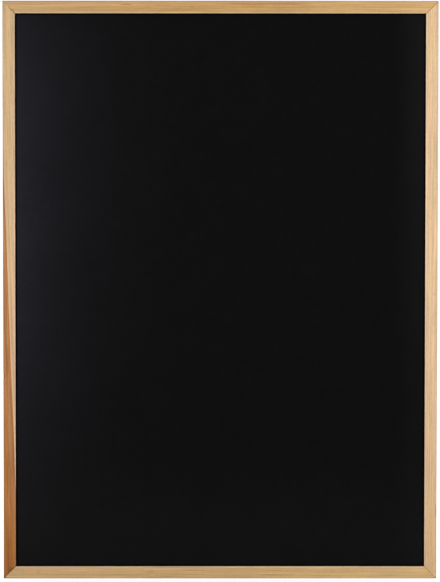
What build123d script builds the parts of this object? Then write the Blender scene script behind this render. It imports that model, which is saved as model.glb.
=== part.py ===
from build123d import *
import os

# Slate writing board in a mitred pine frame, made to hang upright on a wall.
# Lengths are in millimetres and angles in degrees.
# The front faces -Y, +X is to the right seen from the front, and +Z is up.
# The origin lies on the wall plane, behind the middle of the board.

# Board and frame moulding
board_width = 600.0
board_height = 800.0
moulding_face = 17.0
moulding_depth = 15.0
arris_radius = 1.0

# Writing panel and the groove that holds it
core_thickness = 3.0
coating_thickness = 0.3
panel_setback = 4.0
groove_depth = 5.0
groove_play = 0.2
panel_edge_gap = 0.5

# V-nails, driven from the back across each mitre
nails_per_corner = 2
nail_thickness = 0.5
nail_leg = 4.0
nail_height = 10.0
nail_sink = 0.3
nail_bend_radius = 0.4
nail_first_inset = 6.0
nail_pitch = 5.0

# Hanger strap, a steel strip with one end rolled into an eye
hanger_drop = 160.0
strap_thickness = 0.8
strap_width = 10.0
strap_corner_radius = 4.0
strap_end_margin = 5.0
hinge_to_screw = 17.0
eye_slit = 0.5

# D-ring of steel wire, hinged in the eye
wire_diameter = 2.0
ring_running_clearance = 0.08
ring_side_clearance = 0.5
ring_leaf_gap = 0.3
ring_arm = 4.0

# Pan-head wood screw that holds the strap
screw_diameter = 3.0
screw_length = 12.0
screw_tip = 3.0
screw_head_diameter = 6.4
screw_head_height = 2.0
screw_head_rim = 0.6
screw_hole_clearance = 0.15
recess_length = 3.4
recess_width = 0.7
recess_depth = 1.1

# Rubber bumper that keeps the lower end of the board off the wall
bumper_diameter = 10.0
bumper_thickness = 5.0
bumper_rounding = 1.5
bumper_rise = 30.0

# How far every cutting shape runs past the surface that it cuts
overrun = 1.0

# Planes square to Y, from the wall at zero forwards
back_plane = -bumper_thickness
front_plane = back_plane - moulding_depth
panel_front = front_plane + panel_setback
nail_tip_plane = back_plane - nail_sink - nail_height

# Sizes that follow from the ones above
groove_width = core_thickness + coating_thickness + groove_play
panel_margin = moulding_face - groove_depth + panel_edge_gap
panel_width = board_width - 2 * panel_margin
panel_height = board_height - 2 * panel_margin
wire_radius = wire_diameter / 2
eye_bore_radius = wire_radius + ring_running_clearance
eye_outer_radius = eye_bore_radius + strap_thickness
hinge_stand = strap_thickness + ring_leaf_gap + wire_radius
ring_half_width = strap_width / 2 + ring_side_clearance + wire_radius
ring_corner_radius = wire_radius + ring_side_clearance / 2
stile_middle = board_width / 2 - moulding_face / 2
hinge_level = board_height / 2 - hanger_drop
bumper_level = bumper_rise - board_height / 2

# Place in X of each stile and in Z of each rail, as shares of half the board's size
side_shares = {"left": -1, "right": 1}
level_shares = {"bottom": -1, "top": 1}

# Turn about Y of each frame member, from the bottom rail, as a share of a full turn
full_turn = 360
turn_shares = {
    "bottom_rail": 0,
    "left_stile": 1 / 4,
    "top_rail": 2 / 4,
    "right_stile": 3 / 4,
}

# The member whose turn the V-nails of each corner share
corner_members = {
    "bottom_left": "bottom_rail",
    "top_left": "left_stile",
    "top_right": "top_rail",
    "bottom_right": "right_stile",
}


def moulding(length):
    """Frame member along X: outer face on Z zero, front face on Y zero, ends mitred."""
    bar_section = Rectangle(moulding_depth, moulding_face, align=(Align.MIN, Align.MIN))
    bar_section = fillet(bar_section.vertices(), arris_radius)
    groove_reach = groove_depth + overrun
    groove = Rectangle(groove_width, groove_reach, align=(Align.MIN, Align.MIN))
    bar_section -= Pos(panel_setback, moulding_face - groove_depth) * groove
    bar = extrude(Plane.YZ * bar_section, amount=length / 2, both=True)

    outer_half = length / 2 + overrun
    inner_half = length / 2 - moulding_face - overrun
    outline = Polyline(
        (-outer_half, -overrun),
        (outer_half, -overrun),
        (inner_half, moulding_face + overrun),
        (-inner_half, moulding_face + overrun),
        close=True,
    )
    mitred = extrude(Plane.XZ * make_face(outline), amount=moulding_depth + overrun, both=True)
    return bar & mitred


def frame_member(name):
    """Rail or stile in its place, its outer face looking away from the board's middle."""
    end, kind = name.split("_")
    if kind == "rail":
        length = board_width
        place = Pos(0, front_plane, level_shares[end] * board_height / 2)
    else:
        length = board_height
        place = Pos(side_shares[end] * board_width / 2, front_plane, 0)
    return place * Rot(0, full_turn * turn_shares[name], 0) * moulding(length)


def v_nail(height):
    """V-nail or its slot: bend at the origin, legs along -X and -Z, rising along +Y."""
    cross_leg = Rectangle(nail_leg, nail_thickness, align=(Align.MAX, Align.MAX))
    long_leg = Rectangle(nail_thickness, nail_leg, align=(Align.MAX, Align.MAX))
    section = cross_leg + long_leg
    inner_bend = section.vertices().sort_by_distance((0, 0, 0))[1]
    section = fillet(inner_bend, nail_bend_radius)
    outer_bend = section.vertices().sort_by_distance((0, 0, 0))[0]
    section = fillet(outer_bend, nail_bend_radius + nail_thickness)
    return extrude(Plane.XZ * section, amount=height, dir=(0, 1, 0))


def corner_nails(corner, height):
    """V-nails or slots of one corner, the outer one first, as separate solids."""
    level, side = corner.split("_")
    turn = full_turn * turn_shares[corner_members[corner]]
    nails = []
    for index in range(nails_per_corner):
        inset = nail_first_inset + index * nail_pitch
        x = side_shares[side] * (board_width / 2 - inset)
        z = level_shares[level] * (board_height / 2 - inset)
        nails.append(Pos(x, nail_tip_plane, z) * Rot(0, turn, 0) * v_nail(height))
    return nails


def hanger_strap():
    """Rolled strip: back of the leaf on Y zero, hinge axis over Z zero, screw end down."""
    eye = Circle(eye_outer_radius) - Circle(eye_bore_radius)
    slit = Rectangle(eye_slit, eye_outer_radius + overrun, align=(Align.MIN, Align.MAX))
    leaf_length = hinge_to_screw + strap_end_margin
    leaf = Rectangle(strap_thickness, leaf_length, align=(Align.MIN, Align.MAX))
    profile = Pos(hinge_stand, 0) * eye - Pos(strap_thickness, 0) * slit + leaf
    strap = extrude(Plane.YZ * profile, amount=strap_width / 2, both=True)
    end_edges = strap.edges().filter_by(Axis.Y).group_by(Axis.Z)[0]
    strap = fillet(end_edges, strap_corner_radius)
    hole_radius = screw_diameter / 2 + screw_hole_clearance
    hole = Rot(90, 0, 0) * Cylinder(hole_radius, 2 * (strap_thickness + overrun))
    return strap - Pos(0, 0, -hinge_to_screw) * hole


def hanger_ring():
    """D-ring hanging down from its bar, which lies on the X axis."""
    straight_half = ring_half_width - ring_corner_radius
    bar = Line((-straight_half, 0), (straight_half, 0))
    right_corner = CenterArc((straight_half, -ring_corner_radius), ring_corner_radius, 90, -90)
    right_arm = Line(right_corner @ 1, (ring_half_width, -ring_arm))
    bow = CenterArc((0, -ring_arm), ring_half_width, 0, -180)
    left_arm = Line(bow @ 1, (-ring_half_width, -ring_corner_radius))
    left_corner = CenterArc((-straight_half, -ring_corner_radius), ring_corner_radius, 180, -90)
    outline = Curve() + [bar, right_corner, right_arm, bow, left_arm, left_corner]
    path = (Plane.XZ * outline).wire()
    wire_section = Plane(origin=path @ 0, z_dir=path % 0) * Circle(wire_radius)
    return sweep(wire_section, path=path)


def screw_shank():
    """Shank and tip of the screw along -Y, from the underside of the head at zero."""
    radius = screw_diameter / 2
    outline = Polyline(
        (0, 0),
        (radius, 0),
        (radius, screw_tip - screw_length),
        (0, -screw_length),
        close=True,
    )
    return revolve(make_face(outline), Axis.Y)


def screw_head():
    """Domed pan head with a cross recess, standing on Y zero."""
    radius = screw_head_diameter / 2
    crown = TangentArc((0, screw_head_height), (radius, screw_head_rim), tangent=(1, 0))
    rim = Polyline((radius, screw_head_rim), (radius, 0), (0, 0), (0, screw_head_height))
    head = revolve(make_face(crown + rim), Axis.Y)
    slot = Box(recess_length, 2 * recess_depth, recess_width)
    for turn in (0, 90):
        head -= Pos(0, screw_head_height, 0) * Rot(0, turn, 0) * slot
    return head


def bumper():
    """Round bumper on the stile's back at Y zero, its rim rounded on the wall side."""
    disc = extrude(Plane.XZ * Circle(bumper_diameter / 2), amount=bumper_thickness, dir=(0, 1, 0))
    return fillet(disc.edges().group_by(Axis.Y)[-1], bumper_rounding)


def panel_layer(front, thickness):
    """One layer of the writing panel, from its front plane backwards."""
    return Pos(0, front + thickness / 2, 0) * Box(panel_width, thickness, panel_height)


# Frame members, with slots for the V-nails that are open at the back
members = {name: frame_member(name) for name in turn_shares}
for corner in corner_members:
    level, side = corner.split("_")
    for member in (f"{level}_rail", f"{side}_stile"):
        for slot in corner_nails(corner, nail_height + nail_sink + overrun):
            members[member] -= slot

# Hangers and bumpers on the stiles, with a pilot hole in the wood for each screw
fittings = {}
for side, share in side_shares.items():
    hanger_place = Pos(share * stile_middle, back_plane, hinge_level)
    screw_place = hanger_place * Pos(0, strap_thickness, -hinge_to_screw)
    members[f"{side}_stile"] -= screw_place * screw_shank()
    fittings[f"{side}_hanger_strap"] = hanger_place * hanger_strap()
    fittings[f"{side}_hanger_ring"] = hanger_place * Pos(0, hinge_stand, 0) * hanger_ring()
    fittings[f"{side}_hanger_screw"] = screw_place * (screw_shank() + screw_head())
    fittings[f"{side}_bumper"] = Pos(share * stile_middle, back_plane, bumper_level) * bumper()

# Writing panel: black coating in front, hardboard behind it
panel = {
    "writing_face": panel_layer(panel_front, coating_thickness),
    "panel_core": panel_layer(panel_front + coating_thickness, core_thickness),
}

# V-nails, one group of separate solids for each corner
nails = {
    f"v_nails_{corner}": Compound(corner_nails(corner, nail_height))
    for corner in corner_members
}

os.makedirs("parts", exist_ok=True)
for node, shape in {**members, **panel, **nails, **fittings}.items():
    export_step(shape, f"parts/{node}.step")
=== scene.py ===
"""Looks of a slate writing board in a mitred pine frame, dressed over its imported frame."""

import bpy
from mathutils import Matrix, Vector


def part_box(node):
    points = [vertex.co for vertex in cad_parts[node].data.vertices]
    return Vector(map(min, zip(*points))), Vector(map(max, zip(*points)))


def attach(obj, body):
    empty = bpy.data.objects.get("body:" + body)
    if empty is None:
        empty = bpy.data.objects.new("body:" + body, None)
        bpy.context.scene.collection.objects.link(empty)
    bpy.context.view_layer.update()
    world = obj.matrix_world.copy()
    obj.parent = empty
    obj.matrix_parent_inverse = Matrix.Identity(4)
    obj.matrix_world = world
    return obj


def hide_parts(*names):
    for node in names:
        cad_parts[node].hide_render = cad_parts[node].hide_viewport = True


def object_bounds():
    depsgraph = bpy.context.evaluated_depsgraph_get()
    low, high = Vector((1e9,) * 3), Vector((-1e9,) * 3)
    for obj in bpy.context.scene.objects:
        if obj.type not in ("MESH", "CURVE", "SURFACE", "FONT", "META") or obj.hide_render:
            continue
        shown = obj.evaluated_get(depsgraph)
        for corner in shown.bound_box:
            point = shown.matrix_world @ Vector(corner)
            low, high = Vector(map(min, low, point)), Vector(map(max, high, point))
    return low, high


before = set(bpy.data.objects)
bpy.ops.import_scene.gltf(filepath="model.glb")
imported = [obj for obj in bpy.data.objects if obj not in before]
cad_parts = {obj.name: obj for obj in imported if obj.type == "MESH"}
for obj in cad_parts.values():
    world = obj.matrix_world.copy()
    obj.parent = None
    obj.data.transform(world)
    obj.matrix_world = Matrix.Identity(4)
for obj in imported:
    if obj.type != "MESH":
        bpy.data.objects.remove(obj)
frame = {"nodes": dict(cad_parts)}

import fnmatch
import logging
import math
from dataclasses import dataclass
from enum import Enum
from typing import Iterable

import bmesh
import bpy
from mathutils import Matrix, Vector, noise

CAD_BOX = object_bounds()

MM = 0.001
TOUCH = MM / 100
WELD = MM / 10000
NODES = frame["nodes"]

log = logging.getLogger("writing_board")

Colour = tuple[float, float, float]
Point = tuple[float, float, float]
Span = tuple[float, float]
Curve = tuple[Span, ...]
Stops = tuple[tuple[float, Colour], ...]
Material = bpy.types.Material
Piece = bpy.types.Object
Mesh = bmesh.types.BMesh
MeshEdge = bmesh.types.BMEdge

WHITE: Colour = (1.0, 1.0, 1.0)
GOLDEN_TINT: Colour = (1.0, 0.995, 0.965)
PINKISH_TINT: Colour = (0.985, 0.97, 0.97)
ROSY_TONE: Colour = (0.93, 0.84, 0.80)
ORANGE_TONE: Colour = (0.95, 0.86, 0.72)
OLIVE_TONE: Colour = (0.80, 0.76, 0.60)
TIP_TONE: Colour = (0.31, 0.225, 0.16)
TORN_TONE: Colour = (0.62, 0.56, 0.5)

# Values that most of a noise lies between, and nearly all of it
USUAL_NOISE: Span = (0.3, 0.7)
BROAD_NOISE: Span = (0.2, 0.8)

# How far the sliver on the left stile lies below the board's middle
SPLINTER_DROP = 119 * MM

# Kinds of ray that show a surface, where the others only carry its light
SHOWING_RAYS = ("Camera", "Glossy", "Transmission")


def linear(colour: Colour) -> tuple[float, ...]:
    """Turn a colour as a screen shows it into the linear, opaque colour that shaders take."""
    toe, slope, shift, power = 0.04045, 12.92, 0.055, 2.4
    return (*(c / slope if c <= toe else ((c + shift) / (1 + shift)) ** power for c in colour), 1.0)


class Side(Enum):
    """Side of the board seen from the front, as the CAD nodes' names have it."""

    LEFT = "left"
    RIGHT = "right"


class Edge(Enum):
    """Edge of the board, with the node of its frame member, by quarter turns from the bottom."""

    BOTTOM = "bottom_rail"
    LEFT = "left_stile"
    TOP = "top_rail"
    RIGHT = "right_stile"

    @property
    def quarter(self) -> int:
        """Quarter turns from the bottom edge to this one."""
        return list(Edge).index(self)

    @property
    def upright(self) -> bool:
        """Whether the member stands upright, as a stile does."""
        return self in (Edge.LEFT, Edge.RIGHT)

    @property
    def sign(self) -> int:
        """Sign of the edge's place on the axis that it is square to."""
        return -1 if self in (Edge.BOTTOM, Edge.LEFT) else 1

    @property
    def fasteners(self) -> list[str]:
        """CAD nodes of the nails, and then of the screw, that are driven into the member."""
        names = f"v_nails_*{self.name.lower()}*", f"{self.name.lower()}_hanger_screw"
        return [node for name in names for node in fnmatch.filter(NODES, name)]


class Blend(Enum):
    """Ways in which one colour is laid over another."""

    MIX = "MIX"
    MULTIPLY = "MULTIPLY"
    SCREEN = "SCREEN"


@dataclass(frozen=True)
class Pattern:
    """Random pattern: cells per metre, finer layers and their share, and its draw on the grain."""

    scale: float
    detail: float = 2.0
    roughness: float = 0.5
    draw: float = 1.0


@dataclass(frozen=True)
class Stain:
    """Values of a pattern at which a stain starts and is full, and how strong it is there."""

    low: float
    high: float
    strength: float


@dataclass(frozen=True)
class Relief:
    """How far a pattern raises the surface, and how much of that shows."""

    rise: float
    strength: float


@dataclass(frozen=True)
class Field:
    """Value that varies over a surface, and that is reckoned with as a number is."""

    tree: "NodeTree"
    socket: bpy.types.NodeSocket

    def math(self, operation: str, *other: "Plug") -> "Field":
        """Apply a Math node's operation to this value, or to it and another one."""
        return self.tree.field("Math", self, *other, operation=operation)

    def __add__(self, other: "Plug") -> "Field":
        """Add another value."""
        return self.math("ADD", other)

    def __sub__(self, other: "Plug") -> "Field":
        """Take another value away."""
        return self.math("SUBTRACT", other)

    def __rsub__(self, other: float) -> "Field":
        """Take this value from a number."""
        return self.tree.field("Math", other, self, operation="SUBTRACT")

    def __mul__(self, other: "Plug") -> "Field":
        """Multiply by another value."""
        return self.math("MULTIPLY", other)

    def __truediv__(self, other: "Plug") -> "Field":
        """Divide by another value."""
        return self.math("DIVIDE", other)

    def __abs__(self) -> "Field":
        """Leave the sign out."""
        return self.math("ABSOLUTE")

    __radd__ = __add__
    __rmul__ = __mul__

    def span(self, low: float, high: float, start: float = 0.0, end: float = 1.0) -> "Field":
        """Map the values from low to high smoothly to start to end, held at both ends."""
        ends = (low, high, start, end)
        return self.tree.field("MapRange", self, *ends, interpolation_type="SMOOTHSTEP")

    def spread(self, start: float, end: float) -> "Field":
        """Map a noise's usual values to another range."""
        return self.span(*USUAL_NOISE, start, end)

    def curve(self, stops: Curve) -> "Field":
        """Map values from 0 to 1 through a smooth curve.

        Args:
            stops: Points of the curve, as pairs of value and result.

        Returns:
            The mapped value.
        """
        node = self.tree.node("FloatCurve")
        points = node.mapping.curves[0].points
        while len(points) < len(stops):
            points.new(0.5, 0.5)
        for point, place in zip(points, stops):
            point.location = place
        node.mapping.update()
        self.tree.fill(node, value=self)
        return Field(self.tree, node.outputs[0])

    def ramp(self, stops: Stops) -> "Field":
        """Pick a colour from a ramp by values from 0 to 1.

        Args:
            stops: Places on the ramp, each with its screen colour.

        Returns:
            The colour.
        """
        node = self.tree.node("ValToRGB", self)
        elements = node.color_ramp.elements
        while len(elements) < len(stops):
            elements.new(1.0)
        for element, (place, colour) in zip(elements, stops):
            element.position = place
            element.color = linear(colour)
        return Field(self.tree, node.outputs["Color"])


Plug = Field | float | Colour


class NodeTree:
    """Adds and joins the nodes of one shader tree."""

    def __init__(self, tree: bpy.types.NodeTree) -> None:
        """Take over a tree and empty it."""
        self.tree = tree
        tree.nodes.clear()

    def plug(self, socket: bpy.types.NodeSocket, source: Plug) -> None:
        """Link a socket to a field, or set its value.

        Args:
            socket: Input to fill.
            source: Field to link, or a number or screen colour to set.
        """
        if isinstance(source, Field):
            self.tree.links.new(source.socket, socket)
        elif socket.type == "RGBA":
            socket.default_value = linear(source)
        else:
            socket.default_value = source

    def fill(self, node: bpy.types.Node, **sources: Plug) -> None:
        """Fill some of a node's inputs, named in lower case with underscores.

        Args:
            node: The node.
            sources: Names of inputs and what goes into them.
        """
        inputs = {socket.name.lower().replace(" ", "_"): socket for socket in node.inputs}
        for name, source in sources.items():
            self.plug(inputs[name], source)

    def node(self, kind: str, *sources: Plug, **options: str) -> bpy.types.Node:
        """Add a node, set its options and fill its inputs from the first one on.

        Args:
            kind: Blender's name of the node, without its prefix.
            sources: What goes into its inputs.
            options: Its options and their values.

        Returns:
            The node.
        """
        node = self.tree.nodes.new(f"ShaderNode{kind}")
        for option, value in options.items():
            setattr(node, option, value)
        for socket, source in zip(node.inputs, sources):
            self.plug(socket, source)
        return node

    def field(self, kind: str, *sources: Plug, output: int | str = 0, **options: str) -> Field:
        """Add a node in the same way, and take one of its outputs."""
        return Field(self, self.node(kind, *sources, **options).outputs[output])

    def seen_directly(self) -> Field:
        """Tell the rays that show a surface from the ones that light the object with it.

        Returns:
            One for a ray that shows the surface, and zero for the others.
        """
        rays = self.node("LightPath").outputs
        camera, glossy, through = (Field(self, rays[f"Is {kind} Ray"]) for kind in SHOWING_RAYS)
        return camera.math("MAXIMUM", glossy.math("MAXIMUM", through))


class NodeBench(NodeTree):
    """Makes one material, laying tone over tone and relief over relief."""

    def __init__(self, name: str) -> None:
        """Start a material with a Principled shader.

        Args:
            name: Name of the material.
        """
        self.material = bpy.data.materials.new(name)
        self.material.use_nodes = True
        super().__init__(self.material.node_tree)
        self.shader = self.node("BsdfPrincipled")
        self.node("OutputMaterial", Field(self, self.shader.outputs["BSDF"]))
        self.place = self.field("TexCoord", output="Object")
        self.colour: Plug = WHITE

    def split(self) -> tuple[Field, ...]:
        """Split the place on the surface into its three coordinates."""
        return tuple(Field(self, part) for part in self.node("SeparateXYZ", self.place).outputs)

    def join(self, x: Plug, y: Plug, z: Plug) -> Field:
        """Join three coordinates into a place."""
        return self.field("CombineXYZ", x, y, z)

    def noise(self, pattern: Pattern, place: Field | None = None) -> Field:
        """Read a random pattern, on the surface itself where no other place is given."""
        sources = (place or self.place, 0.0, pattern.scale, pattern.detail, pattern.roughness)
        return self.field("TexNoise", *sources, output="Fac")

    def mix(self, factor: Plug, below: Plug, above: Plug, blend: Blend = Blend.MIX) -> Field:
        """Lay one colour over another.

        Args:
            factor: How much of the upper colour shows.
            below: Colour below.
            above: Colour above.
            blend: Way of laying it on.

        Returns:
            The mixed colour.
        """
        node = self.node("Mix", factor, data_type="RGBA", blend_type=blend.value)
        colours = [socket for socket in node.inputs if socket.type == "RGBA"]
        for socket, source in zip(colours, (below, above)):
            self.plug(socket, source)
        return Field(self, next(socket for socket in node.outputs if socket.type == "RGBA"))

    def lay(self, factor: Plug, tone: Plug, blend: Blend = Blend.MULTIPLY) -> None:
        """Lay a tone over the colour so far."""
        self.colour = self.mix(factor, self.colour, tone, blend)

    def stain(self, pattern: Field, stain: Stain, tone: Colour, blend: Blend = Blend.MIX) -> None:
        """Lay a tone over the colour so far where a pattern passes the stain's values."""
        self.lay(pattern.span(stain.low, stain.high, 0.0, stain.strength), tone, blend)

    def shade(self, light: Field) -> None:
        """Multiply the colour so far by a linear brightness."""
        self.lay(1.0, self.field("CombineColor", light, light, light))

    def bump(self, height: Field, relief: Relief) -> None:
        """Raise the surface by a pattern, over any relief that was added before.

        Args:
            height: The pattern, as a share of the relief's rise.
            relief: How far it raises the surface.
        """
        node = self.node("Bump")
        self.fill(node, strength=relief.strength, distance=relief.rise, height=height)
        normal = self.shader.inputs["Normal"]
        if normal.is_linked:
            self.fill(node, normal=Field(self, normal.links[0].from_socket))
        self.plug(normal, Field(self, node.outputs[0]))

    def set(self, **sources: Plug) -> None:
        """Give the shader the colour so far, and fill others of its inputs."""
        self.fill(self.shader, base_color=self.colour, **sources)


@dataclass(frozen=True)
class Moulding:
    """Section and length of the frame's moulding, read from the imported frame."""

    half_width: float
    half_height: float
    face: float
    front: float
    back: float
    setback: float
    groove_width: float
    groove_depth: float
    arris: float = 1.0 * MM

    @classmethod
    def from_frame(cls) -> "Moulding":
        """Measure the frame members and the panel that they hold.

        Returns:
            The moulding.
        """
        low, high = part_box("bottom_rail")
        stile_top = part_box("left_stile")[1].z
        face_low, face_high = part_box("writing_face")
        core_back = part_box("panel_core")[1].y
        panel_play = 0.2 * MM
        edge_gap = 0.5 * MM
        face = high.z - low.z
        return cls(
            half_width=high.x,
            half_height=stile_top,
            face=face,
            front=low.y,
            back=high.y,
            setback=face_low.y - low.y,
            groove_width=core_back - face_low.y + panel_play,
            groove_depth=face_high.x - (high.x - face) + edge_gap,
        )

    @property
    def depth(self) -> float:
        """Depth of the moulding from front to back."""
        return self.back - self.front

    @property
    def opening(self) -> Span:
        """Half the width and half the height of the opening that shows the coat."""
        return self.half_width - self.face, self.half_height - self.face

    def half_length(self, edge: Edge) -> float:
        """Half the length of an edge's member."""
        return self.half_height if edge.upright else self.half_width

    def outer_face(self, edge: Edge) -> float:
        """Place of a member's outer face on the axis that it is square to."""
        return edge.sign * (self.half_width if edge.upright else self.half_height)

    def place(self, edge: Edge) -> Matrix:
        """Move and turn a straight bar, its outer face on Z zero, to its edge of the board.

        Args:
            edge: Edge of the board.

        Returns:
            The place in the row frame.
        """
        outer = self.outer_face(edge)
        corner = (outer, self.front, 0.0) if edge.upright else (0.0, self.front, outer)
        turn = Matrix.Rotation(edge.quarter * math.pi / 2, 4, "Y")
        return Matrix.Translation(corner) @ turn


class Timber(NodeBench):
    """Bench for the wood of one frame member, where places are measured from its own faces."""

    def __init__(self, name: str, edge: Edge, moulding: Moulding) -> None:
        """Start the material and measure along the member, across it and behind its front.

        Args:
            name: Name of the material.
            edge: Edge of the board that the member makes.
            moulding: Its section and the board's size.
        """
        super().__init__(name)
        self.moulding = moulding
        self.x, y, self.z = self.split()
        self.along, level = (self.z, self.x) if edge.upright else (self.x, self.z)
        half_length = moulding.half_length(edge)
        self.share = (self.along + half_length) / (2 * half_length)
        self.across = (level - moulding.outer_face(edge)) * -edge.sign
        self.depth = y - moulding.front

    def drawn(self, pattern: Pattern, slope: float, layer: Plug) -> Field:
        """Read a pattern that is drawn out along a grain which runs sideways at a slope."""
        slant = self.across + self.along * slope
        return self.noise(pattern, self.join(self.along * pattern.draw, slant, layer))

    def by_half(self, first: float, last: float) -> Field:
        """Give one value before the middle of the member and another one after it."""
        return self.along.span(-MM, MM, first, last)


@dataclass(frozen=True)
class GrowthRings:
    """Where the tree's centre lay, seen from a frame member, and how its rings look."""

    pith_across: float
    pith_below: float
    pitch: float
    drift: float
    strength: float
    seed: float
    wander: float = 1.2 * MM
    bends: Pattern = Pattern(3.0)
    bend_layer: float = 2.0
    years: Pattern = Pattern(190.0, 1.0)
    year_shift: float = 1.3
    growth: Curve = ((0.0, 0.12), (0.12, 0.0), (0.5, 0.16), (0.86, 1.0), (1.0, 0.2))
    faintest_year: float = 0.25
    fading: Pattern = Pattern(1.0, draw=11.0)
    fading_span: Span = (0.3, 0.65)
    faded: float = 0.15

    def lay(self, timber: Timber, late_tone: Colour) -> Field:
        """Darken the latewood of the rings, in some years and places more than in others.

        Args:
            timber: Bench of the member.
            late_tone: Tint of the latewood.

        Returns:
            How far the wood at a place is latewood.
        """
        bend = timber.noise(self.bends, timber.join(timber.along, self.seed, self.bend_layer))
        bend = bend.span(*BROAD_NOISE, -self.wander, self.wander)
        side = timber.across + bend + timber.along * self.drift - self.pith_across
        below = timber.depth + self.pith_below
        reach = (side * side + below * below).math("SQRT")
        years = timber.noise(self.years, timber.join(reach, self.seed, 0.0))
        count = reach / self.pitch + years * self.year_shift
        number = count.math("FLOOR")
        late = count.math("FRACT").curve(self.growth)

        year = timber.node("TexWhiteNoise", noise_dimensions="1D")
        timber.fill(year, w=number + self.seed)
        weight = Field(timber, year.outputs["Value"]).span(0.0, 1.0, self.faintest_year, 1.0)
        place = timber.join(timber.along * self.fading.draw, number, self.seed)
        kept = timber.noise(self.fading, place).span(*self.fading_span, self.faded, 1.0)
        timber.lay(late * (weight * kept) * self.strength, late_tone)
        return late


@dataclass(frozen=True)
class Fibres:
    """Fibres, streaks, hairline pores, clouds of tint and short resin ducts along the grain."""

    fine: Pattern = Pattern(900.0, 3.0, 0.6, 0.02)
    fine_span: Span = (0.25, 0.75)
    fine_depth: float = 0.16
    streaks: Pattern = Pattern(330.0, 2.0, 0.6, 0.012)
    streak_depth: float = 0.11
    pores: Pattern = Pattern(3200.0, 2.0, 0.6, 0.045)
    pore_span: Span = (0.56, 0.68)
    pore_light: Span = (0.04, -0.24)
    clouds: Pattern = Pattern(150.0, draw=0.07)
    cloud_span: Span = (0.35, 0.65)
    ducts: Pattern = Pattern(620.0, 1.0, draw=0.07)
    duct_stain: Stain = Stain(0.68, 0.78, 0.35)

    def lay(self, timber: Timber, rings: GrowthRings, late_tone: Colour) -> tuple[Field, Field]:
        """Lighten and darken the wood along its fibres, and draw its ducts and pores.

        Args:
            timber: Bench of the member.
            rings: Growth rings that the fibres run with.
            late_tone: Tint of the ducts.

        Returns:
            The fibres and the pores.
        """
        layer = timber.depth + rings.seed
        fine, pores, clouds, ducts = (
            timber.drawn(pattern, rings.drift, layer)
            for pattern in (self.fine, self.pores, self.clouds, self.ducts)
        )
        streaks = timber.drawn(self.streaks, rings.drift, timber.depth - rings.seed)
        timber.shade(
            fine.span(*self.fine_span, 1 - self.fine_depth, 1 + self.fine_depth)
            + streaks.spread(-self.streak_depth, self.streak_depth)
            + pores.span(*self.pore_span, *self.pore_light)
        )
        timber.lay(1.0, timber.mix(clouds.span(*self.cloud_span), GOLDEN_TINT, PINKISH_TINT))
        timber.stain(ducts, self.duct_stain, late_tone, Blend.MULTIPLY)
        return fine, pores


@dataclass(frozen=True)
class Heartwood:
    """Wedge of dark heartwood that starts at the outer edge and widens downwards."""

    start: float
    slope: float
    stops: Stops
    sway: Pattern = Pattern(7.0)
    sway_layer: float = 3.0
    sway_reach: float = 0.7 * MM
    veins: Pattern = Pattern(420.0, 3.0, 0.6, 0.022)
    vein_layer: float = 5.0
    vein_tone: Colour = (0.84, 0.76, 0.70)
    vein_stain: Stain = Stain(0.4, 0.68, 0.75)
    glow_tone: Colour = (0.26, 0.12, 0.03)
    glow_stain: Stain = Stain(0.42, 0.3, 0.5)
    blur: Span = (-0.35 * MM, 0.45 * MM)
    rim_tone: Colour = (0.80, 0.66, 0.56)
    rim_rise: Span = (-0.2 * MM, 0.5 * MM)
    rim_fall: Span = (0.5 * MM, 1.6 * MM)
    rim_strength: float = 0.4

    def lay(self, timber: Timber) -> None:
        """Lay the wedge with its veins and its darker rim over the sapwood.

        Args:
            timber: Bench of the member.
        """
        sway = timber.noise(self.sway, timber.join(timber.along, 0.0, self.sway_layer))
        sway = sway.span(*BROAD_NOISE, -self.sway_reach, self.sway_reach)
        inside = (self.start - timber.along) * self.slope + sway - timber.across
        sapwood, timber.colour = timber.colour, timber.share.ramp(self.stops)
        veins = timber.drawn(self.veins, self.slope, self.vein_layer)
        timber.stain(veins, self.vein_stain, self.vein_tone, Blend.MULTIPLY)
        timber.stain(veins, self.glow_stain, self.glow_tone, Blend.SCREEN)
        timber.colour = timber.mix(inside.span(*self.blur), sapwood, timber.colour)
        rim = inside.span(*self.rim_rise) * inside.span(*self.rim_fall, 1.0, 0.0)
        timber.lay(rim * self.rim_strength, self.rim_tone)


@dataclass(frozen=True)
class Fleck:
    """Soft-edged mark or tinted patch in the grain of a frame member, seen on its front face."""

    along: float
    across: float
    length: float
    width: float
    strength: float
    tone: Colour = (0.78, 0.64, 0.46)
    sink: float = 9.0 * MM
    core: float = 0.1

    def lay(self, timber: Timber) -> None:
        """Draw the mark, which fades out from its core.

        Args:
            timber: Bench of the member.
        """
        u = (timber.along - self.along) / (self.length / 2)
        v = (timber.across - self.across) / (self.width / 2)
        w = timber.depth / self.sink
        reach = u * u + v * v + w * w
        timber.lay(reach.span(self.core, 1.0, self.strength, 0.0), self.tone)


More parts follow.
